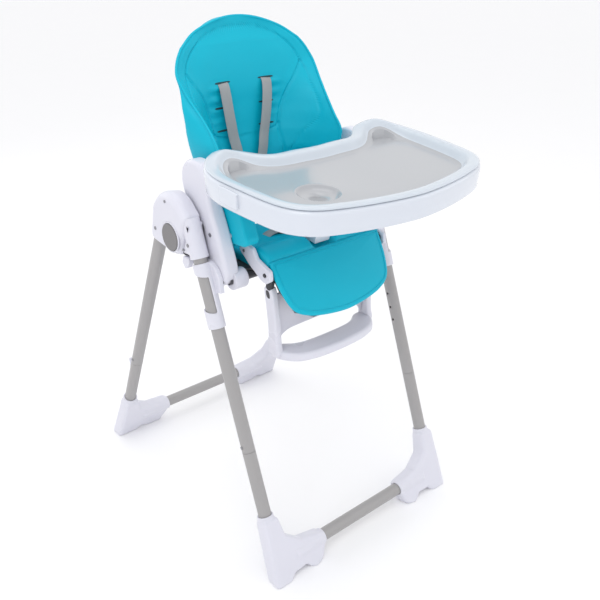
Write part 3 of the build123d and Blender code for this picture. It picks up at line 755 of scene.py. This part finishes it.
for side, sign in SIDES:
    for index, (x, z) in enumerate(((0.056, 0.9526), (0.0574, 0.9007), (0.056, 0.8527))):
        # Each strap slot is a thin sleeve, capped at both ends, in the darkened leatherette colour. It stands
        # where the opening is: painted shade, with no hole cut in the cushion.
        turns = np.linspace(0, 2 * math.pi, 32, endpoint=False)
        loop = np.stack([sign * x + 0.0195 * np.sign(np.cos(turns)) * np.abs(np.cos(turns)) ** 0.5,
                         z + 0.0019 * np.sign(np.sin(turns)) * np.abs(np.sin(turns)) ** 0.7], axis=1)
        y = back_y(sign * x, z)
        slot_rings = [[(a, y + SHIFT + 0.004, b) for a, b in loop],
                      [(a, back_y(a, b) + SHIFT - 0.0006, b) for a, b in loop]]
        slit = skin(f"strap_slot_{side}_{index}", slot_rings)
        install(slit, "backrest", "leatherette", finish="slot_painted_shade")
    line = [(0.0560, 0.9530), (0.0556, 0.946), (0.0540, 0.925), (0.0505, 0.895), (0.0460, 0.865),
            (0.0405, 0.835), (0.0350, 0.808), (0.0305, 0.780), (0.028, 0.745), (0.027, 0.715)]
    stand = [-0.003, 0.0035, 0.009, 0.0125, 0.014, 0.014, 0.013, 0.011, 0.008, 0.006]
    path = [(sign * x, back_y(sign * x, z) - gap + SHIFT, z) for (x, z), gap in zip(line, stand)]
    strap = sweep(f"shoulder_web_{side}", catmull(path, 90, False), band(0.025, 0.0017))
    smooth(strap, 40)
    install(strap, "backrest", "webbing", f"shoulder_strap_{side}")


# ------------------------------------------------------------------ seat cushions
# y, height of the top: a roll at the front edge, then the sitting surface.
seat_line = catmull([(-0.1900, 0.640), (-0.1945, 0.652), (-0.1930, 0.663), (-0.181, 0.6725), (-0.163, 0.6785),
                     (-0.148, 0.677), (-0.130, 0.667), (-0.105, 0.654), (-0.070, 0.650), (0.0, 0.650),
                     (0.016, 0.648), (0.022, 0.640)], 90, False)
seat_rings = []
for y, z in seat_line:
    t = np.linspace(-1, 1, 91)
    x = 0.1475 * (np.sign(t) * (1 - (1 - np.abs(t)) ** 1.3))
    drop = 0.0075 * np.clip((np.abs(x) - 0.139) / 0.0085, 0, 1) ** 2
    notch = 0.019 * np.exp(-(np.clip(np.abs(x) - 0.018, 0, 1) / 0.010) ** 2)
    notch *= min(1.0, max(0.0, (z - 0.655) / 0.012)) if y < -0.10 else 0.0
    seam = 0.0022 * math.exp(-((y + 0.1500) / 0.003) ** 2) * np.ones(91)
    top = np.column_stack([x, np.full(91, y + SHIFT), np.maximum(z - drop - notch - seam, 0.6345)])
    under = np.column_stack([x[::-1], np.full(91, y + SHIFT), np.full(91, 0.6330)])
    seat_rings.append(np.concatenate([top, under]))
seat = skin("seat_cushion", seat_rings)
smooth(seat, 60)
install(seat, "seat", "leatherette", "seat_pad")

side_points = [(-0.119, 0.790), (-0.148, 0.774), (-0.160, 0.752), (-0.171, 0.724), (-0.179, 0.705),
               (-0.168, 0.692), (-0.140, 0.688), (-0.120, 0.686), (-0.100, 0.668), (-0.080, 0.657),
               (-0.030, 0.655), (0.004, 0.657),
               (0.010, 0.680), (0.006, 0.715), (-0.010, 0.755), (-0.030, 0.782), (-0.070, 0.795)]


def facing_in(side):
    """Like along_x, with the crowned face turned to the middle of the seat."""
    return lambda y, z, x: (side * (0.3362 - x), y + SHIFT, z)


for side, sign in SIDES:
    bolster = cushion(f"side_cushion_{side}", outline(side_points, 160), 0.1502, 0.1840, 0.009, 0.004,
                      facing_in(sign), (-0.075, 0.725))
    smooth(bolster, 60)
    install(bolster, "seat", "leatherette", f"side_pad_{side}")

for side, sign in SIDES:
    deselect()
    bpy.ops.mesh.primitive_uv_sphere_add(segments=28, ring_count=14, radius=0.0052)
    snap = bpy.context.active_object
    snap.name = f"flap_snap_{side}"
    bpy.ops.object.mode_set(mode="EDIT")
    bpy.ops.mesh.select_all(action="SELECT")
    bpy.ops.transform.resize(value=(0.42, 1, 1))
    bpy.ops.transform.translate(value=(sign * 0.1862, -0.124 + SHIFT, 0.7035))
    bpy.ops.object.mode_set(mode="OBJECT")
    smooth(snap, 60)
    install(snap, "seat", "white_plastic")

LEAN = math.radians(32.6)


def calf_place(x, s, height):
    """s runs down the board and height stands out of its front."""
    return (x, -0.190 - s * math.sin(LEAN) - height * math.cos(LEAN) + SHIFT,
            0.650 - s * math.cos(LEAN) + height * math.sin(LEAN))


calf_points = mirrored([(0, -0.004), (0.100, -0.004), (0.1425, -0.0035), (0.1468, 0.003), (0.146, 0.032),
                        (0.1426, 0.060), (0.136, 0.086), (0.128, 0.101), (0.117, 0.111), (0.100, 0.119),
                        (0.085, 0.124), (0.050, 0.131), (0, 0.1355)])
calf = cushion("calf_cushion", outline(calf_points, 200), 0.0032, 0.0135, 0.006, 0.0035, calf_place,
               (0, 0.062))
smooth(calf, 60)
install(calf, "legrest", "leatherette", "calf_pad")
calf_seam = inset(outline(calf_points, 200), 0.0085)
calf_line = [calf_place(x, s, 0.0140) for x, s in np.concatenate([calf_seam, calf_seam[:1]])]
stitch = sweep("calf_seam", calf_line, circle(0.0009, 6), up=(0, -math.cos(LEAN), math.sin(LEAN)))
install(stitch, "legrest", "leatherette")

# From the buckle the lap strap dips into the cushion.
lap_y = -0.0595
lap_line = [(0.021, 0.6555), (0.040, 0.6530), (0.050, 0.6490), (0.062, 0.6460), (0.140, 0.6455)]
for side, sign in SIDES:
    path = [(sign * x, lap_y + SHIFT, z) for x, z in lap_line]
    web = sweep(f"lap_web_{side}", catmull(path, 40, False), band(0.025, 0.0016), up=(0, 0, 1))
    smooth(web, 40)
    install(web, "seat", "webbing", *(["lap_straps"] if side == "left" else []))

# ------------------------------------------------------------------ floor and finish
deselect()
bpy.ops.mesh.primitive_plane_add(size=80, location=(0, 0, -0.0005))
floor = bpy.context.active_object
floor.name = "floor"
floor.data.materials.append(MATERIALS["floor"])
